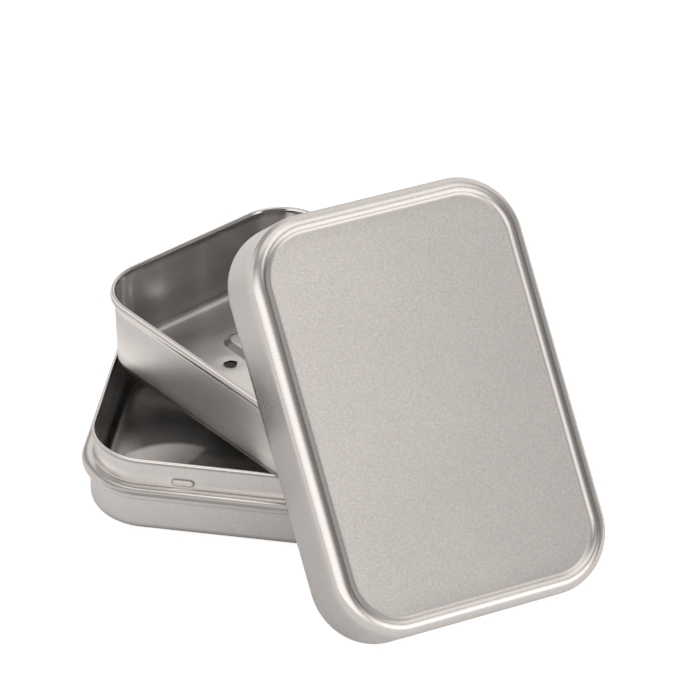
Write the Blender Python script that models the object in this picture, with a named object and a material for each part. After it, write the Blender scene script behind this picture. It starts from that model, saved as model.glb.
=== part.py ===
"""Three-piece metal soap tin: an open base tin, a drip tray laid across it, and a slip lid leaning on both.

Metres, +Z up. The origin is the middle of the base tin's underside, with the base's long side along X.
Every shell is one pressed sheet. Its section is drawn once, as the outset from the wall's outline
against the height, and is carried round a rounded rectangle.
"""
import math

import bmesh
import bpy
import numpy as np
from mathutils import Matrix, Vector

MM = 0.001

# Sheet and running clearances
SHEET = 0.45 * MM
REST_GAP = 0.3 * MM
LEAN_GAP = 0.8 * MM
LID_SLIP = 0.30 * MM
CUT_OVERRUN = 1.0 * MM
SAME_POINT = 0.0045 * MM
ROUND_END_FLAT = 0.045 * MM

# Base tin
BASE_LENGTH = 103.5 * MM
BASE_WIDTH = 71.3 * MM
BASE_HEIGHT = 21.1 * MM
BASE_CORNER_RADIUS = 15.5 * MM
BASE_FOOT_RADIUS = 2.6 * MM
BEAD_RADIUS = 1.75 * MM
BEAD_PROUD = 2.1 * MM
BEAD_MID_HEIGHT = 12.1 * MM
BEAD_ROOT_RADIUS = 0.35 * MM
NECK_INSET = 0.9 * MM
BASE_ROLL_RADIUS = 0.5 * MM

# Grip pips pressed out of the neck
PIP_LENGTH = 6.2 * MM
PIP_HEIGHT = 2.6 * MM
PIP_PROUD = 0.55 * MM
PIP_EDGE_RADIUS = 0.45 * MM
PIP_ABOVE_BEAD = 0.5 * MM
PIP_SPACING = 51.2 * MM

# Drip tray
TRAY_END_CLEARANCE = 0.55 * MM
TRAY_SIDE_CLEARANCE = 0.85 * MM
TRAY_CORNER_RADIUS = 13.0 * MM
TRAY_HEIGHT = 22.1 * MM
TRAY_DRAFT = 0.8 * MM
TRAY_FOOT_RADIUS = 2.6 * MM
TRAY_ROLL_RADIUS = 0.73 * MM

# Drainage in the tray's floor
RIB_LENGTH = 67.0 * MM
RIB_WIDTH = 7.8 * MM
RIB_HEIGHT = 1.7 * MM
RIB_SLOPE_RUN = 1.3 * MM
RIB_KNEE_RUN_SHARE = 0.55
RIB_KNEE_RISE_SHARE = 0.72
HOLE_RADIUS = 1.55 * MM
HOLE_PITCH_ALONG = 47.2 * MM
HOLE_PITCH_ACROSS = 16.2 * MM

# Lid
LID_HEIGHT = 18.7 * MM
LID_SHOULDER_RADIUS = 2.9 * MM
LID_SLOPE_WIDTH = 2.4 * MM
LID_RECESS = 0.6 * MM

# How the pieces lie
TRAY_TURN = math.radians(-40.2)
TRAY_SHIFT_ALONG = 1.9 * MM
TRAY_SHIFT_ACROSS = 0.3 * MM
LID_TURN = math.radians(34.4)
LID_TILT = math.radians(48.8)
LID_SIDE_SHIFT = 9.0 * MM
LID_DRAWN_BACK = 5.2 * MM

# Facets
CORNER_STEPS = 12
FOOT_STEPS = 5
ROOT_STEPS = 2
BEAD_STEPS = 8
ROLL_STEPS = 6
SHOULDER_STEPS = 6
SLOPE_STEPS = 3
HOLE_SIDES = 24
LEAN_SAMPLES = 25
LEAN_HALVINGS = 7

# Sizes that follow from the ones above
BASE_OUTLINE = (BASE_LENGTH, BASE_WIDTH, BASE_CORNER_RADIUS)
LID_GROWTH = LID_SLIP + SHEET
LID_OUTLINE = (BASE_LENGTH + 2 * LID_GROWTH, BASE_WIDTH + 2 * LID_GROWTH, BASE_CORNER_RADIUS + LID_GROWTH)
TRAY_ROLL_PROUD = 2 * TRAY_ROLL_RADIUS - SHEET
TRAY_INSET = NECK_INSET + SHEET + TRAY_ROLL_PROUD
TRAY_OUTLINE = (
    BASE_LENGTH - 2 * (TRAY_INSET + TRAY_END_CLEARANCE),
    BASE_WIDTH - 2 * (TRAY_INSET + TRAY_SIDE_CLEARANCE),
    TRAY_CORNER_RADIUS,
)
BEAD_TOP = BEAD_MID_HEIGHT + BEAD_RADIUS


def clear_scene():
    for thing in list(bpy.data.objects):
        bpy.data.objects.remove(thing, do_unlink=True)


def metal(name, colour, roughness):
    material = bpy.data.materials.new(name)
    material.use_nodes = True
    shader = material.node_tree.nodes["Principled BSDF"]
    shader.inputs["Base Color"].default_value = (*colour, 1.0)
    shader.inputs["Metallic"].default_value = 1.0
    shader.inputs["Roughness"].default_value = roughness
    return material


def arc(centre, radius, start, end, steps, concave=False):
    """Points (outset, height) on an arc, each with the sheet's outward normal there."""
    angles = np.linspace(start, end, steps + 1)
    unit = np.column_stack([np.cos(angles), np.sin(angles)])
    points = np.array(centre) + radius * unit
    return points, (-unit if concave else unit)


def join_runs(*runs):
    """Chain section runs, leaving out the points that two runs share."""
    points = np.vstack([run[0] for run in runs])
    normals = np.vstack([run[1] for run in runs])
    step = np.linalg.norm(np.diff(points, axis=0), axis=1)
    keep = np.concatenate([[True], step > SAME_POINT])
    return points[keep], normals[keep]


def wall_point(outset, height, normal):
    return np.array([[outset, height]]), np.array([normal])


def closed_section(skin, edge):
    """The outer skin, the rim's edge, then the inner skin one sheet thickness inside, going back."""
    points, normals = skin
    return np.vstack([points, edge, (points - SHEET * normals)[::-1]])


def outline_points(outline, outset):
    """Rounded rectangle, anticlockwise, moved outwards by the outset with its arcs concentric."""
    length, width, radius = outline
    quarter = np.linspace(0, math.pi / 2, CORNER_STEPS + 1)
    points = []
    for corner, (side_x, side_y) in enumerate([(1, 1), (-1, 1), (-1, -1), (1, -1)]):
        centre = np.array([side_x * (length / 2 - radius), side_y * (width / 2 - radius)])
        angles = quarter + corner * math.pi / 2
        points.append(centre + (radius + outset) * np.column_stack([np.cos(angles), np.sin(angles)]))
    return np.vstack(points)


def sweep_section(name, outline, section):
    """Carry a section round the outline; its first and last rings are closed by flat faces."""
    mesh = bpy.data.meshes.new(name)
    bm = bmesh.new()
    rings = []
    for outset, height in section:
        ring = [bm.verts.new((x, y, height)) for x, y in outline_points(outline, outset)]
        rings.append(ring)
    for lower, upper in zip(rings, rings[1:]):
        for index, vert in enumerate(lower):
            following = (index + 1) % len(lower)
            bm.faces.new((vert, lower[following], upper[following], upper[index]))
    bm.faces.new(list(reversed(rings[0])))
    bm.faces.new(rings[-1])
    bmesh.ops.recalc_face_normals(bm, faces=bm.faces)
    bm.to_mesh(mesh)
    bm.free()
    return mesh


def place(name, mesh, material=None):
    thing = bpy.data.objects.new(name, mesh)
    bpy.context.scene.collection.objects.link(thing)
    if material:
        mesh.materials.append(material)
        mesh.shade_smooth()
        mesh.set_sharp_from_angle(angle=math.radians(35))
    return thing


def cutter(name, mesh, parent):
    thing = place(name, mesh)
    thing.parent = parent
    thing.hide_render = True
    thing.display_type = "WIRE"
    return thing


def add_boolean(thing, other, operation):
    modifier = thing.modifiers.new(other.name, "BOOLEAN")
    modifier.solver = "EXACT"
    modifier.operation = operation
    modifier.object = other


def copies_in_one_mesh(name, mesh, matrices):
    """Several placed copies of a small solid, kept as islands of one mesh."""
    bm = bmesh.new()
    for matrix in matrices:
        copy = mesh.copy()
        copy.transform(matrix)
        bm.from_mesh(copy)
        bpy.data.meshes.remove(copy)
    joined = bpy.data.meshes.new(name)
    bm.to_mesh(joined)
    bm.free()
    return joined


def rolled_rim(inner_face, height, radius):
    """Outward roll of the rim: a round bead whose back is flush with the wall's inner face."""
    centre = (inner_face + radius, height - radius)
    start = -math.pi / 2 - math.asin((radius - SHEET) / radius)
    curl = arc(centre, radius, start, math.pi / 2, ROLL_STEPS)
    return join_runs(curl, arc(centre, radius, math.pi / 2, math.pi, ROLL_STEPS // 2))[0]


def base_section():
    """Foot fillet, wall, half-round bead as the lid's stop, drawn-in neck and rolled rim."""
    down, up = -math.pi / 2, math.pi / 2
    bead_centre = (BEAD_PROUD - BEAD_RADIUS, BEAD_MID_HEIGHT)
    root_low = (BEAD_ROOT_RADIUS, BEAD_MID_HEIGHT - BEAD_RADIUS - BEAD_ROOT_RADIUS)
    root_high = (BEAD_ROOT_RADIUS - NECK_INSET, BEAD_TOP + BEAD_ROOT_RADIUS)
    skin = join_runs(
        arc((-BASE_FOOT_RADIUS, BASE_FOOT_RADIUS), BASE_FOOT_RADIUS, down, 0, FOOT_STEPS),
        arc(root_low, BEAD_ROOT_RADIUS, math.pi, up, ROOT_STEPS, concave=True),
        arc(bead_centre, BEAD_RADIUS, down, up, BEAD_STEPS),
        arc(root_high, BEAD_ROOT_RADIUS, down, -math.pi, ROOT_STEPS, concave=True),
    )
    rim = rolled_rim(-NECK_INSET - SHEET, BASE_HEIGHT, BASE_ROLL_RADIUS)
    return closed_section(skin, rim)


def pip_solid(name, shrink, sunk):
    """A lozenge with a rounded top edge, standing on its own base plane."""
    length = PIP_LENGTH - 2 * shrink
    width = PIP_HEIGHT - 2 * shrink
    edge_centre = (-PIP_EDGE_RADIUS, PIP_PROUD - shrink - PIP_EDGE_RADIUS)
    crown, _ = arc(edge_centre, PIP_EDGE_RADIUS, 0, math.pi / 2, ROOT_STEPS)
    section = np.vstack([[(0, -sunk)], crown])
    return sweep_section(name, (length, width, width / 2 - ROUND_END_FLAT), section)


def pip_places():
    """Two pips on each long side, low on the neck, facing out."""
    height = BEAD_TOP + PIP_ABOVE_BEAD + PIP_HEIGHT / 2
    wall = BASE_WIDTH / 2 - NECK_INSET
    places = []
    for side in (1, -1):
        upright = Matrix.Rotation(-side * math.pi / 2, 4, "X")
        for end in (1, -1):
            spot = Vector((end * PIP_SPACING / 2, side * wall, height))
            places.append(Matrix.Translation(spot) @ upright)
    return places


def build_base(material):
    base = place("base_tin", sweep_section("base_tin", BASE_OUTLINE, base_section()), material)
    pips = copies_in_one_mesh("pips", pip_solid("pip", 0, SHEET / 2), pip_places())
    add_boolean(base, cutter("pips", pips, base), "UNION")
    hollow = pip_solid("pip_hollow", SHEET, SHEET + CUT_OVERRUN)
    hollows = copies_in_one_mesh("pip_hollows", hollow, pip_places())
    add_boolean(base, cutter("pip_hollows", hollows, base), "DIFFERENCE")
    return base


def tray_section():
    """Foot fillet, drafted wall and rolled rim."""
    wall_top = TRAY_HEIGHT - TRAY_ROLL_RADIUS
    lean = math.atan(TRAY_DRAFT / wall_top)
    foot_centre = -(wall_top - TRAY_FOOT_RADIUS) * math.tan(lean) - TRAY_FOOT_RADIUS / math.cos(lean)
    foot = arc((foot_centre, TRAY_FOOT_RADIUS), TRAY_FOOT_RADIUS, -math.pi / 2, -lean, FOOT_STEPS)
    rim = rolled_rim(-SHEET, TRAY_HEIGHT, TRAY_ROLL_RADIUS)
    return closed_section(foot, rim)


def rib_solid(name, shrink, sunk):
    """A long rib with round ends and sloping flanks; the shrunk one is the hollow beneath it."""
    length = RIB_LENGTH - 2 * shrink
    width = RIB_WIDTH - 2 * shrink
    rise = RIB_HEIGHT - shrink
    knee = (-RIB_KNEE_RUN_SHARE * RIB_SLOPE_RUN, RIB_KNEE_RISE_SHARE * rise)
    flank = np.array([(0, -sunk), (0, 0), knee, (-RIB_SLOPE_RUN, rise)])
    return sweep_section(name, (length, width, width / 2 - ROUND_END_FLAT), flank)


def drain_places():
    return [
        Matrix.Translation((end * HOLE_PITCH_ALONG / 2, side * HOLE_PITCH_ACROSS / 2, 0))
        for end in (1, -1)
        for side in (1, -1)
    ]


def drain_punch():
    mesh = bpy.data.meshes.new("drain_punch")
    bm = bmesh.new()
    bmesh.ops.create_cone(
        bm, cap_ends=True, segments=HOLE_SIDES, radius1=HOLE_RADIUS, radius2=HOLE_RADIUS,
        depth=2 * (SHEET + CUT_OVERRUN),
    )
    bm.to_mesh(mesh)
    bm.free()
    return mesh


def build_tray(material):
    tray = place("soap_tray", sweep_section("soap_tray", TRAY_OUTLINE, tray_section()), material)
    rib = cutter("rib", rib_solid("rib", 0, SHEET / 2), tray)
    rib.location.z = SHEET
    add_boolean(tray, rib, "UNION")
    hollow = cutter("rib_hollow", rib_solid("rib_hollow", SHEET, SHEET + CUT_OVERRUN), tray)
    hollow.location.z = SHEET
    add_boolean(tray, hollow, "DIFFERENCE")
    punches = copies_in_one_mesh("drain_punches", drain_punch(), drain_places())
    add_boolean(tray, cutter("drain_punches", punches, tray), "DIFFERENCE")
    return tray


def lid_section():
    """Plain skirt, round shoulder, crest, then an S-shaped slope down to the sunk panel."""
    skirt = wall_point(0, 0, (1, 0))
    shoulder_centre = (-LID_SHOULDER_RADIUS, LID_HEIGHT - LID_SHOULDER_RADIUS)
    shoulder = arc(shoulder_centre, LID_SHOULDER_RADIUS, 0, math.pi / 2, SHOULDER_STEPS)
    swing = 2 * math.atan(LID_RECESS / LID_SLOPE_WIDTH)
    bend = LID_SLOPE_WIDTH / (2 * math.sin(swing))
    crest = (-LID_SHOULDER_RADIUS, LID_HEIGHT - bend)
    foot = (-LID_SHOULDER_RADIUS - LID_SLOPE_WIDTH, LID_HEIGHT - LID_RECESS + bend)
    skin = join_runs(
        skirt,
        shoulder,
        arc(crest, bend, math.pi / 2, math.pi / 2 + swing, SLOPE_STEPS),
        arc(foot, bend, -math.pi / 2 + swing, -math.pi / 2, SLOPE_STEPS, concave=True),
    )
    points, normals = skin
    return np.vstack([(points - SHEET * normals)[::-1], points])


def outline_distance(points, outline, outset):
    """Signed distance in plan from a rounded rectangle, negative inside it."""
    length, width, radius = outline
    core = np.array([length / 2 - radius, width / 2 - radius])
    beyond = np.abs(points) - core
    outside = np.linalg.norm(np.maximum(beyond, 0), axis=1)
    inside = np.minimum(beyond.max(axis=1), 0)
    return outside + inside - radius - outset


def ring_samples(outline, outset):
    """The outline's own points and more of them along its four straight sides."""
    corners = outline_points(outline, outset).reshape(4, CORNER_STEPS + 1, 2)
    starts = corners[:, -1]
    ends = np.roll(corners[:, 0], -1, axis=0)
    shares = np.linspace(0, 1, LEAN_SAMPLES)[:, None, None]
    sides = starts + shares * (ends - starts)
    return np.vstack([corners.reshape(-1, 2), sides.reshape(-1, 2)])


def shell_samples(outline, section, placing):
    """Points all over a shell's skins, in the tin's frame."""
    rings = []
    for outset, height in section:
        plan = ring_samples(outline, outset)
        rings.append(np.column_stack([plan, np.full(len(plan), height)]))
    matrix = np.array(placing)
    return np.vstack(rings) @ matrix[:3, :3].T + matrix[:3, 3]


def tray_placing():
    spot = Matrix.Translation((TRAY_SHIFT_ALONG, TRAY_SHIFT_ACROSS, BASE_HEIGHT + REST_GAP))
    return spot @ Matrix.Rotation(TRAY_TURN, 4, "Z")


def lid_placing(distance, shift):
    """The lid stands on the lower edge of its mouth, this far in front of the base and to its side."""
    across = Vector((math.cos(LID_TURN), math.sin(LID_TURN), 0))
    outward = Vector((math.sin(LID_TURN), -math.cos(LID_TURN), 0))
    foot = shift * across + distance * outward
    turn = Matrix.Rotation(LID_TURN, 4, "Z") @ Matrix.Rotation(LID_TILT, 4, "X")
    along = Matrix.Translation((0, LID_OUTLINE[0] / 2, 0)) @ Matrix.Rotation(math.pi / 2, 4, "Z")
    return Matrix.Translation(foot) @ turn @ along


def lid_touches(distance, shift, samples):
    """Whether a point of the other pieces comes within the lean gap of the lid's sheet."""
    matrix = np.array(lid_placing(distance, shift).inverted())
    local = samples @ matrix[:3, :3].T + matrix[:3, 3]
    inner = outline_distance(local[:, :2], LID_OUTLINE, -SHEET)
    outer = outline_distance(local[:, :2], LID_OUTLINE, 0)
    deep = (local[:, 2] > -LEAN_GAP) & (local[:, 2] < LID_HEIGHT + LEAN_GAP)
    in_skirt = deep & (inner > -LEAN_GAP) & (outer < LEAN_GAP)
    ceiling = LID_HEIGHT - LID_RECESS - SHEET - LEAN_GAP
    in_panel = deep & (outer < 0) & (local[:, 2] > ceiling)
    return bool((in_skirt | in_panel).any())


def slide_until(touches, start):
    """Come down from the start in short steps, then halve the last one, to the last free place."""
    free = start
    while free > -start and not touches(free - LEAN_GAP):
        free -= LEAN_GAP
    blocked = free - LEAN_GAP
    for _ in range(LEAN_HALVINGS):
        middle = (free + blocked) / 2
        if touches(middle):
            blocked = middle
        else:
            free = middle
    return free


def leaning_lid_placing():
    """The lid comes in over the tray's corner, is drawn back a little, then leans sideways on it."""
    samples = np.vstack([
        shell_samples(BASE_OUTLINE, base_section(), Matrix.Identity(4)),
        shell_samples(TRAY_OUTLINE, tray_section(), tray_placing()),
    ])
    far_out = BASE_LENGTH + LID_OUTLINE[0]
    nearest = slide_until(lambda spot: lid_touches(spot, LID_SIDE_SHIFT, samples), far_out)
    distance = nearest + LID_DRAWN_BACK
    shift = slide_until(lambda spot: lid_touches(distance, spot, samples), LID_SIDE_SHIFT)
    return lid_placing(distance, shift)


def seat(name, thing, placing):
    """Hang a moving piece on an empty that stands where the piece lies."""
    empty = bpy.data.objects.new(name, None)
    bpy.context.scene.collection.objects.link(empty)
    empty.matrix_world = placing
    thing.parent = empty


def main():
    clear_scene()
    satin = metal("satin_aluminium", (0.72, 0.70, 0.68), 0.32)
    inside = metal("tray_aluminium", (0.66, 0.64, 0.62), 0.30)
    face = metal("lid_aluminium", (0.74, 0.72, 0.70), 0.36)
    build_base(satin)
    seat("tray_seat", build_tray(inside), tray_placing())
    lid = place("lid", sweep_section("lid", LID_OUTLINE, lid_section()), face)
    seat("lid_seat", lid, leaning_lid_placing())
    bpy.context.view_layer.update()


main()
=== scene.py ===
"""Finish of a three-piece pressed soap tin: base tin, drip tray across it, lid leaning on both.

Each piece is one surface: a section, given as outset from the wall's outline against height,
carried round a rounded rectangle. Sizes are in metres, in the frame of the CAD model.
"""
import math

import bpy
import numpy as np
from mathutils import Matrix, Vector


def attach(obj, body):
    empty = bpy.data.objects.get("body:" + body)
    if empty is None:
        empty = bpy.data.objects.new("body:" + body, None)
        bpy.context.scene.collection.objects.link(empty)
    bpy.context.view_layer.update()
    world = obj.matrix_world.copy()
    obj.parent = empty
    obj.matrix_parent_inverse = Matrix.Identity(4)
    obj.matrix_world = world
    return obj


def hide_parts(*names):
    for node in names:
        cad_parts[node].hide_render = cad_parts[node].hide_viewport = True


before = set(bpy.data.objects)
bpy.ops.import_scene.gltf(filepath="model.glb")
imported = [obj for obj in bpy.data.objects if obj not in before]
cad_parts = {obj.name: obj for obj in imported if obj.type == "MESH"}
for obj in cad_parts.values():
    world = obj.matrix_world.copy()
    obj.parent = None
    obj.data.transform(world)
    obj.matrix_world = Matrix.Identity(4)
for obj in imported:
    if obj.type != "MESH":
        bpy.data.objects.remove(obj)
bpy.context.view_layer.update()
MM = 0.001

# Sheet, and the sizes of the three pressings; an outline is (length, width, corner radius)
SHEET = 0.45 * MM
BASE_OUTLINE = (103.5 * MM, 71.3 * MM, 15.5 * MM)
BASE_HEIGHT = 21.35 * MM
BASE_FOOT = 2.6 * MM
BEAD_RADIUS = 1.75 * MM
BEAD_PROUD = 2.1 * MM
BEAD_MID = 12.1 * MM
BEAD_ROOT = 0.35 * MM
NECK_INSET = 0.9 * MM
BASE_ROLL = 0.5 * MM
PIP = (6.2 * MM, 2.6 * MM, 0.55 * MM)
PIP_ABOVE_BEAD = 0.5 * MM
PIP_EDGE = 0.75 * MM
PIP_MARGIN = 0.4 * MM
PIP_SPACING = 51.2 * MM
TRAY_OUTLINE = (97.6 * MM, 64.8 * MM, 13.0 * MM)
TRAY_HEIGHT = 22.1 * MM
TRAY_DRAFT = 0.8 * MM
TRAY_FOOT = 2.6 * MM
TRAY_ROLL = 0.73 * MM
TRAY_ROLL_TALL = 1.85
RIB = (67.2 * MM, 8.7 * MM, 4.3 * MM)
RIB_HEIGHT = 1.15 * MM
RIB_RUN = 1.85 * MM
RIB_BEND = 0.7 * MM
HOLE_RADIUS = 1.55 * MM
HOLE_PITCH = (47.2 * MM, 16.2 * MM)
HOLE_SIDES = 48
DISH = (3.6 * MM, 0.10 * MM)
LID_OUTLINE = (104.94 * MM, 72.7 * MM, 16.25 * MM)
LID_HEIGHT = 18.7 * MM
LID_SHOULDER = 2.9 * MM
LID_SLOPE = 2.4 * MM
LID_RECESS = 0.6 * MM

# Rings across the flat middles, steps round the corners and along the lid's skirt
BASE_UNDER_RINGS = 10
BASE_FLOOR_RINGS = 26
TRAY_FLOOR_RINGS = 20
RIB_CROWN_RINGS = 3
RIB_TOP_RINGS = 3
LID_PANEL_RINGS = 12
CORNER_STEPS = 36
LID_CORNER_STEPS = 40
SKIRT_STEPS = 12

# Spacing of the points along the (long, short) sides, and along a pip
BASE_SPACING = (2.4 * MM, 2.4 * MM)
PIP_GRID = 0.2 * MM
TRAY_SPACING = (1.5 * MM, 2.0 * MM)
LID_SPACING = (2.5 * MM, 2.5 * MM)

# Where the pieces lie
TRAY_TURN = math.radians(-40.2)
TRAY_SPOT = (1.9 * MM, 0.3 * MM, 21.4 * MM)
TRAY_PLACE = Matrix.Translation(TRAY_SPOT) @ Matrix.Rotation(TRAY_TURN, 4, "Z")
LID_TURN = math.radians(34.4)
LID_TILT = math.radians(48.8)
LID_FOOT = (7.019 * MM, 75.0 * MM)

# What all finishes share: the metal's tint, the grain, and what polishing takes off roughness
TINT = (1.015, 0.997, 0.984)
GRAIN_SIZE = 0.5 * MM
GRAIN_RELIEF = 0.02 * MM
POLISHING = 0.6

# Each finish, as pairs (outer face, inner face), with the relief and the waves in millimetres
BASE_METAL = {
    "grey": (0.62, 0.60), "rough": (0.28, 0.36), "brushing": (0.25, 0.0),
    "relief": (0.02, 0.0), "grain": (0.15, 0.15), "waves": 0.05,
}
TRAY_METAL = {
    "grey": (0.66, 0.66), "rough": (0.36, 0.24), "brushing": (0.2, 0.1),
    "relief": (0.03, 0.0), "grain": (0.15, 0.15), "waves": 0.22,
}
LID_METAL = {
    "grey": (0.67, 0.615), "rough": (0.28, 0.50), "brushing": (0.15, 0.0),
    "relief": (0.006, 0.0), "grain": (0.25, 0.80), "waves": 0.0,
}

# The painted reflection on the base's floor, a bright lens, in millimetres: a disc cut by a line,
# which is given by a point and the direction across it; then the kept value at the lens's edge, and
# the painted light inside
LENS_MIDDLE = (-31.0, -16.0)
LENS_RADIUS = 18.2
LENS_LINE = (-25.6, 2.3)
LENS_ACROSS = (-0.904, 0.427)
LENS_EDGE = 10.0
LENS_LIGHT = 1.15

# Studio: the even light, then soft boxes and flags as (direction, spread in degrees, strength)
STUDIO_WHITE = (1.030, 0.978, 0.938, 1.0)
STUDIO_AMBIENT = 0.453
STUDIO_LAMPS = [
    ((-0.276, -0.951, 0.139), 53.7, 0.970),
    ((0.153, 0.821, 0.551), 46.4, 0.455),
    ((0.810, -0.547, 0.210), 28.0, 1.604),
    ((0.429, -0.141, 0.892), 24.1, 1.004),
    ((0.788, -0.378, 0.487), 31.3, -0.268),
    ((-0.165, 0.067, 0.984), 30.7, 0.620),
    ((-0.998, -0.065, 0.015), 43.3, 0.440),
]
LAMP_CORE = 0.35

# Camera: azimuth, elevation and roll in degrees; place along right, up and back; lens; all in mm
VIEW_TURN = (7.9704, 34.6182, 1.3053)
VIEW_PLACE = (11.1074, 28.8849, 1222.006)
VIEW_LENS = 246.367


def lid_place():
    """The lid, turned, then tilted about the mouth's lower edge, which stands on the ground."""
    across = Vector((math.cos(LID_TURN), math.sin(LID_TURN), 0))
    outward = Vector((math.sin(LID_TURN), -math.cos(LID_TURN), 0))
    foot = LID_FOOT[0] * across + LID_FOOT[1] * outward
    turn = Matrix.Rotation(LID_TURN, 4, "Z") @ Matrix.Rotation(LID_TILT, 4, "X")
    middle = Matrix.Translation((0, LID_OUTLINE[0] / 2, 0)) @ Matrix.Rotation(math.pi / 2, 4, "Z")
    return Matrix.Translation(foot) @ turn @ middle


# Sections: arrays of (outset, height), run from one face of the sheet round to the other

def arc(centre, radius, start, end, steps):
    """Points centre + radius * (cos a, sin a), with the angle a in equal steps."""
    angles = np.linspace(start, end, steps + 1)
    return np.array(centre) + radius * np.column_stack([np.cos(angles), np.sin(angles)])


def line(start, end, steps):
    """Points spaced evenly from start to end."""
    return np.linspace(start, end, steps + 1)


def chain(*runs):
    """Joins runs of points and drops each point that repeats the one before it."""
    points = np.vstack(runs)
    apart = np.linalg.norm(np.diff(points, axis=0), axis=1) > 1e-6
    return points[np.concatenate([[True], apart])]


def offset(points, distance):
    """Moves a run sideways: each point goes to its left by the distance, square to the run."""
    ahead = np.gradient(points, axis=0)
    ahead /= np.linalg.norm(ahead, axis=1)[:, None]
    return points + distance * np.column_stack([-ahead[:, 1], ahead[:, 0]])


def roll(inner_face, height, radius, tall, steps):
    """An outward oval curl of the rim, from close under itself, over the top, to the inner face."""
    start = -math.pi / 2 - math.asin((radius - SHEET) / radius)
    round_curl = arc((inner_face + radius, 0), radius, start, math.pi, steps)
    return round_curl * (1, tall) + (0, height - tall * radius)


def smooth(share):
    """A smooth step from zero to one: t * t * (3 - 2 * t)."""
    return share * share * (3 - 2 * share)


def ease(count):
    """The smooth step taken in a count of equal paces."""
    return smooth(np.linspace(0, 1, count))


def spans(start, *counts):
    """Slices that follow one another from the start, one as long as each count."""
    ends = np.cumsum([start, *counts]).tolist()
    return [slice(low, high) for low, high in zip(ends, ends[1:])]


# Surfaces

def side_marks(length, radius, spacing, extra=()):
    """Places along a straight side, evenly spaced, with extra fine stretches (middle, half, step).

    A place that lies closer to the one before it than a thirtieth of the spacing is dropped.
    """
    half = length / 2 - radius
    marks = [np.linspace(-half, half, max(2, round(2 * half / spacing)) + 1)]
    for middle, reach, step in extra:
        marks.append(np.arange(middle - reach, middle + reach, step))
    marks = np.unique(np.concatenate(marks))
    keep = np.concatenate([[True], np.diff(marks) > spacing / 30])
    return marks[keep]


def both_marks(outline, spacing, extra=()):
    """The places along the long and the short sides; the extra stretches are on the long ones."""
    length, width, radius = outline
    return side_marks(length, radius, spacing[0], extra), side_marks(width, radius, spacing[1])


def outline_track(outline, corner_steps, long_marks, short_marks):
    """Points and outward directions round a rounded rectangle; sides by marks, corners by arcs."""
    length, width, radius = outline
    points, outward = [], []
    angles = np.linspace(0, math.pi / 2, corner_steps + 1)
    corners = [(1, 1), (-1, 1), (-1, -1), (1, -1)]
    for index, (side_x, side_y) in enumerate(corners):
        turn = angles + index * math.pi / 2
        unit = np.column_stack([np.cos(turn), np.sin(turn)])
        centre = np.array([side_x * (length / 2 - radius), side_y * (width / 2 - radius)])
        points.append(centre + radius * unit)
        outward.append(unit)
        marks = (long_marks if index % 2 == 0 else short_marks)[1:-1]
        if index % 2 == 0:
            run = np.column_stack([-side_y * marks, np.full(len(marks), side_y * width / 2)])
            away = np.tile([0.0, side_y], (len(marks), 1))
        else:
            run = np.column_stack([np.full(len(marks), side_x * length / 2), side_x * marks])
            away = np.tile([side_x, 0.0], (len(marks), 1))
        points.append(run)
        outward.append(away)
    return np.vstack(points), np.vstack(outward)


def rings_on(track, section):
    """One ring for each section point: the track moved outwards by the outset, at the height."""
    points, outward = track
    plan = points[None] + section[:, 0, None, None] * outward[None]
    heights = np.broadcast_to(section[:, 1, None, None], plan.shape[:2] + (1,))
    return np.concatenate([plan, heights], axis=2)


def rings_between(first, last, shares):
    """Rings that pass from the first to the last, each a weighted mean of the two."""
    shares = shares[:, None, None]
    return (1 - shares) * first[None] + shares * last[None]


def shrink_to_middle(ring, count):
    """Copies of a ring scaled in equal steps towards the middle of the floor, at its height."""
    middle = np.array([0, 0, ring[:, 2].mean()])
    shares = np.linspace(1, 0, count + 2)[1:-1, None, None]
    return middle + shares * (ring[None] - middle)


def closed_rings(name, rings, finish, place, material, body, node):
    """A grid of rings, with a fan to a middle point at each end, put in place as a finished piece.

    The finish holds named arrays, one value for each ring or one for each point of the rings; they
    become attributes of the mesh, and each fan's middle takes the mean of the ring that it closes.
    """
    rows, columns = rings.shape[:2]
    middles = np.array([rings[0].mean(axis=0), rings[-1].mean(axis=0)])
    middles[:, :2] = 0
    vertices = np.vstack([rings.reshape(-1, 3), middles])
    index = np.arange(rows * columns).reshape(rows, columns)
    here, there = index[:-1], index[1:]
    corners = np.stack([here, np.roll(here, -1, 1), np.roll(there, -1, 1), there], axis=2)
    quads = corners.reshape(-1, 4)
    first, last = index[0], index[-1]
    triangles = np.vstack([
        np.column_stack([np.roll(first, -1), first, np.full(columns, rows * columns)]),
        np.column_stack([last, np.roll(last, -1), np.full(columns, rows * columns + 1)]),
    ])
    matrix = np.array(place)
    placed = vertices @ matrix[:3, :3].T + matrix[:3, 3]

    mesh = bpy.data.meshes.new(name)
    mesh.from_pydata(placed.tolist(), [], quads.tolist() + triangles.tolist())
    round_the_wall(mesh, rings, quads, triangles)
    for label, values in finish.items():
        full = np.broadcast_to(values if values.ndim == 2 else values[:, None], (rows, columns))
        full = np.concatenate([full.ravel(), [full[0].mean(), full[-1].mean()]])
        layer = mesh.attributes.new(label, "FLOAT", "POINT")
        layer.data.foreach_set("value", full.astype(np.float32))
    mesh.shade_smooth()
    piece = bpy.data.objects.new(name, mesh)
    bpy.context.scene.collection.objects.link(piece)
    mesh.materials.append(material)
    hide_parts(node)
    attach(piece, body)
    return piece


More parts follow.
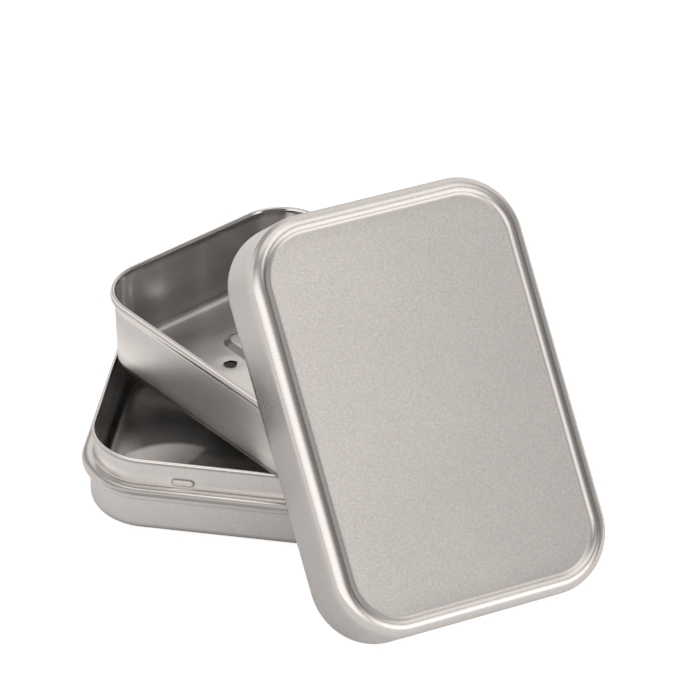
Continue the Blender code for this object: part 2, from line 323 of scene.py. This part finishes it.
def round_the_wall(mesh, rings, quads, triangles):
    """UV map in millimetres: round the outline across, along the section up, the seam doubled."""
    rows, columns = rings.shape[:2]
    widest = rings[np.argmax(np.abs(rings[:, :, 0]).max(axis=1))]
    step = np.linalg.norm(np.roll(widest, -1, 0) - widest, axis=1)
    around = np.concatenate([[0], np.cumsum(step)]) / MM
    rise = np.linalg.norm(np.diff(rings, axis=0), axis=2).mean(axis=1)
    along = np.concatenate([[0], np.cumsum(rise)]) / MM
    row, column = np.divmod(quads, columns)
    wrapped = (column[:, 1] == 0) & (column[:, 0] == columns - 1)
    column[wrapped, 1] = columns
    column[wrapped, 2] = columns
    quad_uv = np.stack([around[column], along[row]], axis=2).reshape(-1, 2)
    tri_row, tri_column = np.divmod(np.minimum(triangles, rows * columns - 1), columns)
    tri_uv = np.stack([around[tri_column], along[tri_row]], axis=2).reshape(-1, 2)
    layer = mesh.uv_layers.new(name="round_the_wall")
    layer.data.foreach_set("uv", np.vstack([quad_uv, tri_uv]).astype(np.float32).ravel())


# Shader writing

class Socket:
    """A node's output; arithmetic on it adds Math nodes."""

    def __init__(self, graph, output):
        self.graph = graph
        self.output = output

    def _math(self, operation, other, swap=False):
        pair = (other, self) if swap else (self, other)
        return self.graph.node("ShaderNodeMath", {"operation": operation}, {0: pair[0], 1: pair[1]})

    def __add__(self, other):
        return self._math("ADD", other)

    __radd__ = __add__

    def __sub__(self, other):
        return self._math("SUBTRACT", other)

    def __rsub__(self, other):
        return self._math("SUBTRACT", other, swap=True)

    def __mul__(self, other):
        return self._math("MULTIPLY", other)

    __rmul__ = __mul__

    def step(self, low, high):
        """Zero below low, one above high, smooth between them."""
        settings = {"interpolation_type": "SMOOTHSTEP"}
        inputs = {0: self, 1: low, 2: high, 3: 0.0, 4: 1.0}
        return self.graph.node("ShaderNodeMapRange", settings, inputs)


class Graph:
    """Nodes of one material or world."""

    def __init__(self, owner):
        owner.use_nodes = True
        self.tree = owner.node_tree
        self.tree.nodes.clear()

    def node(self, kind, settings=None, inputs=None, output=0):
        """Adds a node: its settings first, then the values or links of its sockets."""
        made = self.tree.nodes.new(kind)
        for name, value in (settings or {}).items():
            setattr(made, name, value)
        for name, value in (inputs or {}).items():
            if isinstance(value, Socket):
                self.tree.links.new(value.output, made.inputs[name])
            else:
                made.inputs[name].default_value = value
        return Socket(self, made.outputs[output]) if made.outputs else None


def noise(graph, vector, scale, detail, roughness):
    """Noise centred on zero."""
    inputs = {"Vector": vector, "Scale": scale, "Detail": detail, "Roughness": roughness}
    return graph.node("ShaderNodeTexNoise", {"normalize": True}, inputs) - 0.5


def stretched(graph, source, scale):
    """A pattern's place, scaled along each of its own axes."""
    return graph.node("ShaderNodeMapping", None, {"Vector": source, "Scale": scale})


def pressed_metal(name, grey, rough, brushing, relief, grain, waves):
    """Rolled sheet: fine grain, drawing lines across the rims, handling marks and soft waves.

    All but the waves are pairs: the outer face's value and the inner face's. The colour's level is
    grey * lit * (1 + lines + grain + marks), where lit is the painted shade kept on the mesh, plus
    the painted light of a reflection where its kept value is above the lens's edge. The bump adds
    the lines' relief, the grain and the waves. Polished rims are smoother and less grained, but
    keep the relief.
    """
    material = bpy.data.materials.new(name)
    graph = Graph(material)
    place = graph.node("ShaderNodeTexCoord", None, None, "Object")
    around = graph.node("ShaderNodeUVMap", {"uv_map": "round_the_wall"})
    inside, polish, shade, painted_reflection = (
        graph.node("ShaderNodeAttribute", {"attribute_name": label}, None, "Fac")
        for label in ("inside", "polish", "shade", "painted_reflection")
    )

    def either(pair):
        """The outer face's value outside, the inner face's inside."""
        return pair[0] + inside * (pair[1] - pair[0])

    across_rims = stretched(graph, around, (4.5, 0.10, 1.0))
    lines = noise(graph, across_rims, scale=1.0, detail=3.0, roughness=0.65)
    grains = noise(graph, place, scale=1 / GRAIN_SIZE, detail=4.0, roughness=0.72)
    marks = noise(graph, place, scale=45.0, detail=2.0, roughness=0.5)
    upright = stretched(graph, place, (85.0, 85.0, 20.0))
    swell = noise(graph, upright, scale=1.0, detail=1.0, roughness=0.4)
    unpolished = 1.0 - POLISHING * polish
    brushed = lines * either(brushing)
    grained = grains * either(grain) * unpolished
    # Painted shade kept on the mesh, plus the painted reflection's light on the base's floor
    lit = shade + LENS_LIGHT * painted_reflection.step(LENS_EDGE - 1, LENS_EDGE + 1)
    level = either(grey) * lit * (1.0 + brushed + grained + 0.08 * marks)
    tone = graph.node("ShaderNodeVectorMath", {"operation": "SCALE"}, {0: TINT, "Scale": level})
    roughness = either(rough) * unpolished + 0.04 * marks + 0.15 * grained
    height = lines * either(relief) * MM + grained * GRAIN_RELIEF + swell * (waves * MM)
    bump = graph.node("ShaderNodeBump", None, {"Strength": 1.0, "Distance": 1.0, "Height": height})
    shader = graph.node(
        "ShaderNodeBsdfPrincipled",
        None,
        {"Base Color": tone, "Metallic": 1.0, "Roughness": roughness, "Normal": bump},
    )
    graph.node("ShaderNodeOutputMaterial", None, {"Surface": shader})
    return material


# Base tin

def base_tin(material):
    """Foot fillet, wall, half-round bead, drawn-in neck with pips, rolled rim and plain inside."""
    quarter = math.pi / 2
    low_root = (BEAD_ROOT, BEAD_MID - BEAD_RADIUS - BEAD_ROOT)
    high_root = (BEAD_ROOT - NECK_INSET, BEAD_MID + BEAD_RADIUS + BEAD_ROOT)
    skin = chain(
        arc((-BASE_FOOT, BASE_FOOT), BASE_FOOT, -quarter, 0, 14),
        line((0, BASE_FOOT), (0, low_root[1]), 6),
        arc(low_root, BEAD_ROOT, math.pi, quarter, 6),
        arc((BEAD_PROUD - BEAD_RADIUS, BEAD_MID), BEAD_RADIUS, -quarter, quarter, 28),
        arc(high_root, BEAD_ROOT, -quarter, -math.pi, 6),
        line((-NECK_INSET, high_root[1]), (-NECK_INSET, BASE_HEIGHT - 2 * BASE_ROLL), 34),
    )
    inner = offset(skin, SHEET)[::-1]
    section = chain(skin, roll(-NECK_INSET - SHEET, BASE_HEIGHT, BASE_ROLL, 1.0, 26), inner)
    fine = [(side * PIP_SPACING / 2, PIP[0] / 2 + PIP_MARGIN, PIP_GRID) for side in (-1, 1)]
    track = outline_track(BASE_OUTLINE, CORNER_STEPS, *both_marks(BASE_OUTLINE, BASE_SPACING, fine))
    walls = rings_on(track, section)
    pip_edge = push_pips(walls)
    rings = np.concatenate([
        shrink_to_middle(walls[0], BASE_UNDER_RINGS)[::-1],
        walls,
        shrink_to_middle(walls[-1], BASE_FLOOR_RINGS),
    ])
    curl_rings = len(section) - len(skin) - len(inner)
    face, curl, lining, floor = spans(
        BASE_UNDER_RINGS, len(skin), curl_rings, len(inner), BASE_FLOOR_RINGS
    )
    inside = np.zeros(len(rings))
    inside[curl] = ease(curl_rings)
    inside[curl.stop:] = 1
    polish = np.zeros(len(rings))
    polish[curl] = 1
    polish[face] = np.where(np.abs(skin[:, 1] - BEAD_MID) < BEAD_RADIUS + 2 * BEAD_ROOT, 0.8, 0.0)

    # Painted shade kept on the mesh: the underside stays dark
    shade = np.full(rings.shape[:2], 0.4)
    shade[face] = base_face_shade(skin, track) * pip_shade(pip_edge[:len(skin)])
    # Painted highlights and shade round the curl, a table by angle
    turn = np.linspace(-96, 180, curl_rings)  # degrees round the curl, from under it to the inside
    curled = np.interp(turn, (-60, -10, 40, 70, 110, 180), (0.5, 0.6, 1.2, 1.45, 1.3, 0.9))
    shade[curl] = curled[:, None]
    shade[lining] = base_lining_shade(inner, track)
    # Painted shade on the floor, and the painted reflection of a bright lens on it
    painted_reflection = np.zeros(rings.shape[:2])
    x, y = rings[floor, :, 0] / MM, rings[floor, :, 1] / MM
    shade[floor] = base_floor_shade(x, y)
    painted_reflection[floor] = inside_lens(x, y)
    finish = {"inside": inside, "polish": polish, "shade": shade, "painted_reflection": painted_reflection}
    still = Matrix.Identity(4)
    return closed_rings(
        "base_tin_finish", rings, finish, still, material, "base", "base_tin"
    )


def push_pips(walls):
    """Moves the neck outwards inside each pip: full in its middle, easing to nothing at its edge.

    The distance from the pip's middle line is measured in the plane of the wall, and the push
    is its height times a smooth step of that distance. The result is how far each point lies on
    a pip's edge: above zero on the upper edge, below zero on the lower one.
    """
    long_half, half, proud = PIP[0] / 2, PIP[1] / 2, PIP[2]
    middle = BEAD_MID + BEAD_RADIUS + PIP_ABOVE_BEAD + half
    wall = BASE_OUTLINE[1] / 2 - NECK_INSET
    on_side = np.abs(np.abs(walls[:, :, 1]) - wall + SHEET / 2) < SHEET
    along = np.abs(np.abs(walls[:, :, 0]) - PIP_SPACING / 2)
    beyond = np.hypot(np.maximum(along - (long_half - half), 0), walls[:, :, 2] - middle)
    share = np.clip((half - beyond) / PIP_EDGE, 0, 1)
    push = proud * smooth(share) * on_side
    edge = 4 * share * (1 - share) * on_side
    pip_edge = 1.5 * edge * (walls[:, :, 2] - middle) / half
    walls[:, :, 1] += np.sign(walls[:, :, 1]) * push
    return pip_edge


def pip_shade(pip_edge):
    """Painted shade and highlight on the pips: darker by up to 68 per cent on a pip's upper edge,
    lighter by up to 30 on its lower one.
    """
    return 1 - 0.85 * np.clip(pip_edge, 0, 0.8) + 0.5 * np.clip(-pip_edge, 0, 0.6)


def base_face_shade(skin, track):
    """Painted shade and highlights on the base's outer face: a row for each point of the skin, a
    column for each place.

    It is the product of a part by height (painted dark foot, painted shadow under the curl, lighter
    neck), a part by the bead's tilt, a painted highlight and shade band which counts on the long
    sides alone, and a painted lift of light on the lowest neck, which counts at the corners and
    towards the left end of the long sides.
    """
    height = skin[:, 1]
    under_roll = BASE_HEIGHT - 2 * BASE_ROLL
    foot = np.interp(height / BASE_FOOT, (0, 0.25, 0.6, 1), (0.3, 0.4, 0.75, 1))
    under_curl = np.interp(height, (under_roll - 0.7 * MM, under_roll - 0.3 * MM), (1, 0.75))
    clear = (np.abs(height - BEAD_MID) - BEAD_RADIUS) / MM
    neck = np.where(height > BEAD_MID, np.interp(clear, (0.3, 0.8), (1, 1.1)), 1.06)

    tilt = np.degrees(np.arcsin(np.clip((height - BEAD_MID) / BEAD_RADIUS, -1, 1)))
    tilts = (-8, 5, 14, 28, 36, 45, 56, 88)
    band = np.interp(tilt, tilts, (1, 0.85, 0.4, 0.3, 0.5, 0.85, 1.3, 1.35))
    band[clear > 0] = np.interp(clear[clear > 0], (0, 0.4, 0.6, 2.5), (0.6, 0.6, 0.8, 1.0))
    band[height < BEAD_MID - BEAD_RADIUS] = 1
    place, outward = track
    long_side = np.clip((np.abs(outward[:, 1]) - 0.8) / 0.2, 0, 1)
    ends = np.clip((np.abs(place[:, 0]) / MM - 15) / 18, 0, 1)[None] * (tilt > 40)[:, None]
    across = 1 + long_side * (band[:, None] * (1 - 0.3 * ends * (band > 1)[:, None]) - 1)

    lift = np.interp(clear, (0, 0.3, 0.9, 2.2, 3.3), (0, 0.3, 0.3, 0.11, 0)) * (height > BEAD_MID)
    left_end = np.interp(place[:, 0] / MM, (-36, -28, -20, -14), (0.75, 1, 0.1, 0))
    lift = lift[:, None] * left_end * long_side
    low_neck = np.interp(clear, (-0.1, 0.3, 2.5, 4.0), (0, 1, 1, 0)) * (height > BEAD_MID)
    lift += 0.35 * low_neck[:, None] * (1 - long_side)
    return (foot * under_curl * neck)[:, None] * across * (1 + lift)


def base_lining_shade(inner, track):
    """Painted shade inside the base's wall: lighter upwards, darker at the back and low on the left
    side.
    """
    place, outward = track
    shade = np.interp(inner[:, 1], (SHEET, 3 * MM, 6 * MM), (0.8, 1.2, 1.4))[:, None]
    shade = shade * (1 - 0.6 * np.clip(outward[:, 1], 0, 1))
    left = np.clip(-outward[:, 0] - 0.7, 0, 0.3) / 0.3
    left *= np.interp(place[:, 1] / MM, (-6, 6), (0, 1))
    low = np.interp(inner[:, 1], (2 * MM, 4 * MM), (0.55, 0))
    return shade * (1 - low[:, None] * left)


def base_floor_shade(x, y):
    """Painted shade and painted reflections on the base's floor at a place in millimetres.

    It is a table from front to back, darkest past the middle, with lighter painted patches added
    towards the right, at the left end and at the back.
    """
    right = np.interp(x, (-31, -26, -14), (0, 1.0, 1.2))
    right *= np.interp(y, (-3.5, -0.5, 6), (1, 0.35, 0.1))
    left = np.interp(x, (-47, -42), (1, 0))
    left *= np.interp(y, (-12, -6, -3, 1, 6), (0.5, 1.0, 1.0, 0.35, 0))
    back = np.interp(x, (-47, -40), (1, 0)) * np.interp(y, (8, 14), (0, 0.4))
    back += np.interp(y, (16, 20), (0, 0.6))
    return np.interp(y, (-8, 2, 12, 20), (0.45, 0.30, 0.14, 0.5)) + right + left + back


def inside_lens(x, y):
    """How far inside the floor's painted reflection, a bright lens, a place lies, in mm, plus
    LENS_EDGE.

    The lens is the part of a disc that lies left of a slanted line. Values below zero become zero,
    which is also what a mesh without the attribute of the painted reflection gives.
    """
    in_disc = LENS_RADIUS - np.hypot(x - LENS_MIDDLE[0], y - LENS_MIDDLE[1])
    left = (y - LENS_LINE[1]) * LENS_ACROSS[1] + (x - LENS_LINE[0]) * LENS_ACROSS[0]
    return np.maximum(np.minimum(in_disc, left) + LENS_EDGE, 0)


# Drip tray

def soap_tray(material):
    """Foot fillet, drafted wall and rolled rim; the floor passes from the outline to the rib's."""
    top = TRAY_HEIGHT - TRAY_ROLL
    lean = math.atan(TRAY_DRAFT / top)
    foot = (-(top - TRAY_FOOT) * math.tan(lean) - TRAY_FOOT / math.cos(lean), TRAY_FOOT)
    bend = arc(foot, TRAY_FOOT, -math.pi / 2, -lean, 14)
    skin = chain(bend, line(bend[-1], (0, TRAY_HEIGHT - 2 * TRAY_ROLL_TALL * TRAY_ROLL), 24))
    inner = offset(skin, SHEET)[::-1]
    section = chain(skin, roll(-SHEET, TRAY_HEIGHT, TRAY_ROLL, TRAY_ROLL_TALL, 28), inner)
    marks = both_marks(TRAY_OUTLINE, TRAY_SPACING)
    track = outline_track(TRAY_OUTLINE, CORNER_STEPS, *marks)
    walls = rings_on(track, section)
    rib_marks = (
        np.linspace(-reach, reach, len(side))
        for side, reach in zip(marks, (RIB[0] / 2 - RIB[2], RIB[1] / 2 - RIB[2]))
    )
    rib = outline_track(RIB, CORNER_STEPS, *rib_marks)
    flank = rib_section()
    upper = rings_on(rib, flank + (0, SHEET))
    lower = rings_on(rib, offset(flank, SHEET) + (0, SHEET))
    shares = np.linspace(0, 1, TRAY_FLOOR_RINGS + 2)[1:-1]
    rings = np.concatenate([
        shrink_to_middle(lower[-1], RIB_TOP_RINGS)[::-1],
        lower[::-1],
        rings_between(walls[0], lower[0], shares)[::-1],
        walls,
        rings_between(walls[-1], upper[0], shares),
        upper,
        shrink_to_middle(upper[-1], RIB_TOP_RINGS),
    ])
    dish_drains(rings)
    curl_rings = len(section) - len(skin) - len(inner)
    face, curl, lining, floor, rib_face = spans(
        RIB_TOP_RINGS + len(flank) + TRAY_FLOOR_RINGS,
        len(skin), curl_rings, len(inner), TRAY_FLOOR_RINGS, len(flank),
    )
    inside = np.zeros(len(rings))
    inside[curl] = ease(curl_rings)
    inside[curl.stop:] = 1
    polish = np.zeros(len(rings))
    polish[curl] = 0.8

    # Painted shade: dark under the tray and round its foot, with lighter painted bands up the outer
    # face
    shade = np.full(rings.shape[:2], 0.45)
    rise = np.interp(skin[:, 1], np.array((3, 6, 15, 18, 19)) * MM, (1.0, 1.35, 1.0, 1.0, 1.45))
    rise[:len(bend)] *= 0.45
    shade[face] = rise[:, None]
    # Painted highlights and shade round the curl, a table by angle
    turn = np.linspace(-113, 180, curl_rings)  # degrees round the curl, from under it to the inside
    turns = (-90, -60, -35, -11, 8, 27, 50, 75, 110, 180)
    curled = np.interp(turn, turns, (1.4, 1.2, 1.1, 1.35, 1.0, 0.6, 1.45, 1.2, 0.95, 0.9))
    shade[curl] = curled[:, None]
    shade[lining] = tray_lining_shade(inner, track)
    shade[floor] = tray_floor_shade(rings[floor, :, 0] / MM)
    shade[rib_face] = rib_shade(flank, rib)
    # Painted highlight on the rib's crown and top
    shade[rib_face.stop - RIB_CROWN_RINGS:] = 1.2
    finish = {"inside": inside, "polish": polish, "shade": shade}
    piece = closed_rings(
        "soap_tray_finish", rings, finish, TRAY_PLACE, material, "tray", "soap_tray"
    )
    punch_drains(piece)
    return piece


def rib_section():
    """Flank of the rib: a rounded foot, a straight slope and a rounded shoulder, going inwards."""
    slope = math.atan(RIB_HEIGHT / RIB_RUN)
    reach = RIB_BEND * math.tan(slope / 2)
    foot = arc((reach, RIB_BEND), RIB_BEND, -math.pi / 2, -math.pi / 2 - slope, 6)
    crown = arc(
        (-RIB_RUN - reach, RIB_HEIGHT - RIB_BEND), RIB_BEND, math.pi / 2 - slope, math.pi / 2, 6
    )
    return chain(foot, crown)


def dish_drains(rings):
    """Lowers the floor round each drain by a smooth step of the distance from its middle."""
    far = np.hypot(
        np.abs(rings[:, :, 0]) - HOLE_PITCH[0] / 2, np.abs(rings[:, :, 1]) - HOLE_PITCH[1] / 2
    )
    rings[:, :, 2] -= DISH[1] * smooth(np.clip((DISH[0] - far) / (DISH[0] - HOLE_RADIUS), 0, 1))


def tray_lining_shade(inner, track):
    """Painted shade inside the tray's wall: lighter upwards, darker in one corner, with painted
    highlights in soft upright bands at the left end.

    The painted highlights are a table along the end wall, and count half low on the wall, in full
    above.
    """
    place, outward = track
    rise = np.interp(inner[:, 1], np.array((3, 10, 16, 22)) * MM, (0.85, 0.95, 1.1, 1.3))
    corner = np.clip(-(outward @ (0.707, 0.707)), 0, 1) ** 3
    along = (-16, -13, -11, -9, -4, 0, 1.8, 3.2, 4.8, 8, 14)
    painted_highlights = (1.05, 1.15, 1.32, 1.2, 1.15, 1.2, 1.4, 1.55, 1.45, 1.4, 1.4)
    painted_highlight = np.interp(place[:, 1] / MM, along, painted_highlights) - 1
    tall = np.interp(inner[:, 1], (4 * MM, 10 * MM), (0.5, 1))
    left_end = np.clip(-outward[:, 0], 0, 1) ** 4
    return rise[:, None] * (1 - 0.4 * corner) * (1 + tall[:, None] * painted_highlight * left_end)


def tray_floor_shade(x):
    """Painted shade on the tray's floor by the place along it in millimetres: darker near the left
    end.
    """
    along = (-45, -42, -40, -36.5, -33, -30, -26, -19)
    return np.interp(x, along, (1, 0.8, 0.66, 0.66, 0.85, 1.0, 1.0, 1.06))


def rib_shade(flank, rib):
    """Painted shade on the rib: darker on the slope of its near flank."""
    facing = np.clip(-rib[1][:, 1] - 0.75, 0, 1) / 0.25
    slope = np.interp(flank[:, 0], (-1.9 * MM, -1.5 * MM, -0.4 * MM, 0), (0, 1, 1, 0))
    return 1 - 0.72 * facing * slope[:, None]


def punch_drains(piece):
    """Cuts four round holes through the floor and keeps the result as the piece's own mesh.

    Each punch is a closed tube: a circle below the floor, the same circle above it, and a wall.
    """
    angles = np.linspace(0, 2 * math.pi, HOLE_SIDES, endpoint=False)
    circle = HOLE_RADIUS * np.column_stack([np.cos(angles), np.sin(angles)])
    matrix = np.array(TRAY_PLACE)
    vertices, faces = [], []
    for index, (end, side) in enumerate(((-1, -1), (-1, 1), (1, -1), (1, 1))):
        middle = (end * HOLE_PITCH[0] / 2, side * HOLE_PITCH[1] / 2)
        tube = np.vstack([
            np.column_stack([circle + middle, np.full(HOLE_SIDES, height)])
            for height in (-2 * SHEET, 3 * SHEET)
        ])
        vertices.append(tube @ matrix[:3, :3].T + matrix[:3, 3])
        here = 2 * HOLE_SIDES * index + np.arange(HOLE_SIDES)
        ahead = np.roll(here, -1)
        faces += [here[::-1].tolist(), (here + HOLE_SIDES).tolist()]
        faces += np.column_stack([here, ahead, ahead + HOLE_SIDES, here + HOLE_SIDES]).tolist()
    mesh = bpy.data.meshes.new("drain_punch")
    mesh.from_pydata(np.vstack(vertices).tolist(), [], faces)
    punch = bpy.data.objects.new("drain_punch", mesh)
    bpy.context.scene.collection.objects.link(punch)
    cut = piece.modifiers.new("drains", "BOOLEAN")
    cut.object = punch
    cut.solver = "EXACT"
    graph = bpy.context.evaluated_depsgraph_get()
    result = bpy.data.meshes.new_from_object(piece.evaluated_get(graph))
    piece.modifiers.clear()
    piece.data = result
    result.set_sharp_from_angle(angle=math.radians(40))
    bpy.data.objects.remove(punch)


# Lid

def slip_lid(material):
    """Plain skirt, round shoulder, crest, S-shaped slope and a flat, slightly sunk panel."""
    quarter = math.pi / 2
    swing = 2 * math.atan(LID_RECESS / LID_SLOPE)
    bend = LID_SLOPE / (2 * math.sin(swing))
    slope_foot = (-LID_SHOULDER - LID_SLOPE, LID_HEIGHT - LID_RECESS + bend)
    skin = chain(
        line((0, 0), (0, LID_HEIGHT - LID_SHOULDER), SKIRT_STEPS),
        arc((-LID_SHOULDER, LID_HEIGHT - LID_SHOULDER), LID_SHOULDER, 0, quarter, 26),
        arc((-LID_SHOULDER, LID_HEIGHT - bend), bend, quarter, quarter + swing, 10),
        arc(slope_foot, bend, swing - quarter, -quarter, 10),
    )
    edge = arc((-SHEET / 2, 0.5 * SHEET), SHEET / 2, -math.pi, 0, 8)
    inner = offset(skin, SHEET)[::-1]
    section = chain(inner[:-1], edge, skin[1:])
    track = outline_track(LID_OUTLINE, LID_CORNER_STEPS, *both_marks(LID_OUTLINE, LID_SPACING))
    walls = rings_on(track, section)
    rings = np.concatenate([
        shrink_to_middle(walls[0], LID_PANEL_RINGS)[::-1],
        walls,
        shrink_to_middle(walls[-1], LID_PANEL_RINGS),
    ])
    hidden = LID_PANEL_RINGS + len(section) - len(skin)
    face = slice(hidden, hidden + len(skin))
    shoulder = face.start + SKIRT_STEPS + 1
    fade, panel_fade = 12, 8
    polish = np.zeros(len(rings))
    polish[shoulder:face.stop] = 1
    polish[shoulder:shoulder + fade] = ease(fade)
    polish[face.stop - fade:face.stop] = ease(fade)[::-1]
    polish = polish[:, None] * (track[1][:, 1] ** 2)[None]
    inside = np.zeros(len(rings))
    inside[face.stop:] = 1
    inside[face.stop - panel_fade:face.stop] = ease(panel_fade)

    # Painted light: the panel grows lighter towards one long side and one end
    across = rings[:, :, 1] / (24 * MM)
    along = rings[:, :, 0] / (40 * MM)
    shade = 1.0 + inside[:, None] * (0.075 * across + 0.045 * along)
    shade[face] *= lid_crest_shade(skin, track)
    shade[face] *= lid_skirt_shade(skin, track)
    finish = {"inside": inside, "polish": polish, "shade": shade}
    return closed_rings(
        "lid_finish", rings, finish, lid_place(), material, "lid", "lid"
    )


def lid_crest_shade(skin, track):
    """Painted highlight and shade on the crest of the short sides, by inset from the edge: a light
    line, a darker slope.
    """
    inset = (0, 2.4, 3.0, 3.4, 4.6, 5.2, 5.6)
    crest = np.interp(-skin[:, 0] / MM, inset, (1, 1, 1.35, 0.86, 0.82, 0.9, 1)) - 1
    return 1 + crest[:, None] * (track[1][:, 0] ** 2)[None]


def lid_skirt_shade(skin, track):
    """Painted shade and light on one long side's skirt, by the place along it: lighter in the
    middle of it.
    """
    along, shades = (-20, -10, 0, 8, 12, 20, 28), (0.85, 0.90, 1.07, 1.22, 1.15, 0.82, 0.84)
    painted_skirt_shade = np.interp(track[0][:, 0] / MM, along, shades) - 1
    plain = np.interp(skin[:, 1], np.array((13, 17)) * MM, (1, 0)) * (skin[:, 0] > -LID_SHOULDER)
    return 1 + plain[:, None] * (painted_skirt_shade * np.clip(track[1][:, 1], 0, 1))[None]


# Studio

def studio_world():
    """Studio seen by direction: the camera sees white, the metal soft boxes and a dark side."""
    world = bpy.data.worlds.new("studio")
    bpy.context.scene.world = world
    graph = Graph(world)
    direction = graph.node("ShaderNodeTexCoord", None, None, "Generated")

    def towards(aim, spread):
        """One near a direction and zero beyond the spread, in degrees from it; smooth between."""
        inputs = {0: direction, 1: Vector(aim).normalized()[:]}
        facing = graph.node("ShaderNodeVectorMath", {"operation": "DOT_PRODUCT"}, inputs, 1)
        edge, core = math.radians(spread), math.radians(LAMP_CORE * spread)
        return facing.step(math.cos(edge), math.cos(core))

    light = STUDIO_AMBIENT
    for aim, spread, strength in STUDIO_LAMPS:
        light = light + strength * towards(aim, spread)
    seen = graph.node("ShaderNodeLightPath", None, None, "Is Camera Ray")
    studio = graph.node("ShaderNodeBackground", None, {"Color": STUDIO_WHITE, "Strength": light})
    white = {"Color": (1.0, 1.0, 1.0, 1.0), "Strength": 1.0}
    plain = graph.node("ShaderNodeBackground", None, white)
    both = graph.node("ShaderNodeMixShader", None, {0: seen, 1: studio, 2: plain})
    graph.node("ShaderNodeOutputWorld", None, {"Surface": both})


def pale_floor():
    """A wide white ground that keeps the shadow; camera and mirror rays see it lifted to white."""
    reach = 3.0
    mesh = bpy.data.meshes.new("floor")
    corners = [(-reach, -reach, 0), (reach, -reach, 0), (reach, reach, 0), (-reach, reach, 0)]
    mesh.from_pydata(corners, [], [(0, 1, 2, 3)])
    floor = bpy.data.objects.new("floor", mesh)
    floor.location.z = -0.05 * MM
    bpy.context.scene.collection.objects.link(floor)
    material = bpy.data.materials.new("floor_paper")
    graph = Graph(material)
    paper = graph.node("ShaderNodeBsdfDiffuse", None, {"Color": (0.9, 0.9, 0.9, 1.0)})
    seen, glossy, through = (
        graph.node("ShaderNodeLightPath", None, None, ray)
        for ray in ("Is Camera Ray", "Is Glossy Ray", "Is Transmission Ray")
    )
    strength = seen * 0.75 + (glossy + through) * 0.10
    lift = graph.node("ShaderNodeEmission", None, {"Color": (1, 1, 1, 1), "Strength": strength})
    both = graph.node("ShaderNodeAddShader", None, {0: paper, 1: lift})
    graph.node("ShaderNodeOutputMaterial", None, {"Surface": both})
    mesh.materials.append(material)


def camera():
    """The photograph's view: a long lens, well back, looking down at the front of the base."""
    azimuth, elevation, tilt = (math.radians(angle) for angle in VIEW_TURN)
    back = Vector((
        math.sin(azimuth) * math.cos(elevation),
        -math.cos(azimuth) * math.cos(elevation),
        math.sin(elevation),
    ))
    level = (-back).cross(Vector((0, 0, 1))).normalized()
    upright = level.cross(-back)
    right = math.cos(tilt) * level + math.sin(tilt) * upright
    up = math.cos(tilt) * upright - math.sin(tilt) * level
    place = back * VIEW_PLACE[2] * MM + right * VIEW_PLACE[0] * MM + up * VIEW_PLACE[1] * MM
    lens = bpy.data.cameras.new("camera")
    lens.sensor_width = 36.0
    lens.lens = VIEW_LENS
    lens.clip_end = 20.0
    eye = bpy.data.objects.new("camera", lens)
    turn = Matrix((right, up, back)).transposed()
    eye.matrix_world = Matrix.Translation(place) @ turn.to_4x4()
    bpy.context.scene.collection.objects.link(eye)
    bpy.context.scene.camera = eye


def main():
    """Dresses the three pieces, then sets the studio, the floor and the camera."""
    base_tin(pressed_metal("base_finish", **BASE_METAL))
    soap_tray(pressed_metal("tray_finish", **TRAY_METAL))
    slip_lid(pressed_metal("lid_finish_metal", **LID_METAL))
    studio_world()
    pale_floor()
    camera()
    bpy.context.scene.view_settings.view_transform = "Standard"


main()
